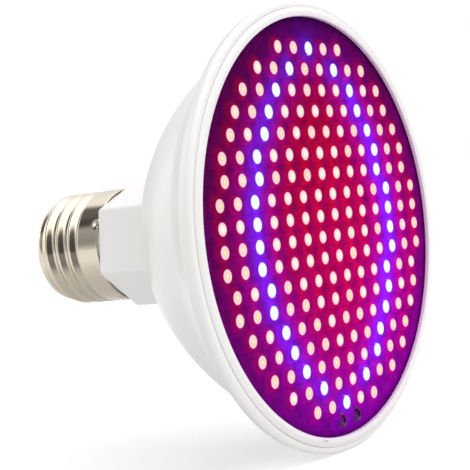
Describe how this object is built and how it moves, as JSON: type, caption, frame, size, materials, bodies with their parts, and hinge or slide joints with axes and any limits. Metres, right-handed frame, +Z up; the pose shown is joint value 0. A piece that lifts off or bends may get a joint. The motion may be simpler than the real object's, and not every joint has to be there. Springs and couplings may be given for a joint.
{
  "type": "grow light bulb",
  "caption": "Screw-in LED grow light with a white flared bowl, hexagonal neck and a flat face of red and blue LED packages.",
  "frame": {"origin": "tip of the centre contact, on the lamp's axis", "axes": "+Y along the lamp's axis, out through the screw cap; the light face looks along -Y; the LED rows run along X; +Z up"},
  "size_m": [0.095, 0.0813, 0.095],
  "materials": {
    "white_plastic": "satin-gloss moulded white plastic",
    "board_mask": "white solder mask lit violet and red by the LEDs",
    "red_led": "lit red LED window",
    "blue_led": "lit blue LED window",
    "solder": "dull solder",
    "nickel": "polished nickel plate",
    "black_insulator": "glossy black insulating glass",
    "driver_laminate": "green circuit laminate",
    "black_moulding": "black moulding compound",
    "film_yellow": "yellow potted film capacitor",
    "capacitor_sleeve": "dark blue shrunk sleeve",
    "resistor_blue": "blue lacquer coating",
    "red_insulation": "red wire insulation",
    "black_insulation": "black wire insulation"
  },
  "bodies": {
    "root": {"housing": "white_plastic", "front_ring": "white_plastic", "led_board": "board_mask", "screw_shell": "nickel", "cap_insulator": "black_insulator", "centre_contact": "nickel", "driver_board": "driver_laminate", "smoothing_capacitor": "capacitor_sleeve", "film_capacitor": "film_yellow", "choke": "black_moulding", "varistor": "resistor_blue", "bridge_rectifier": "black_moulding", "driver_chip": "black_moulding", "output_diode": "black_moulding", "sense_resistor": "black_moulding", "bleed_resistor": "black_moulding", "fusible_resistor": "resistor_blue", "live_wire": "red_insulation", "neutral_wire": "black_insulation", "led_wire_positive": "red_insulation", "led_wire_negative": "black_insulation"}
  },
  "joints": []
}
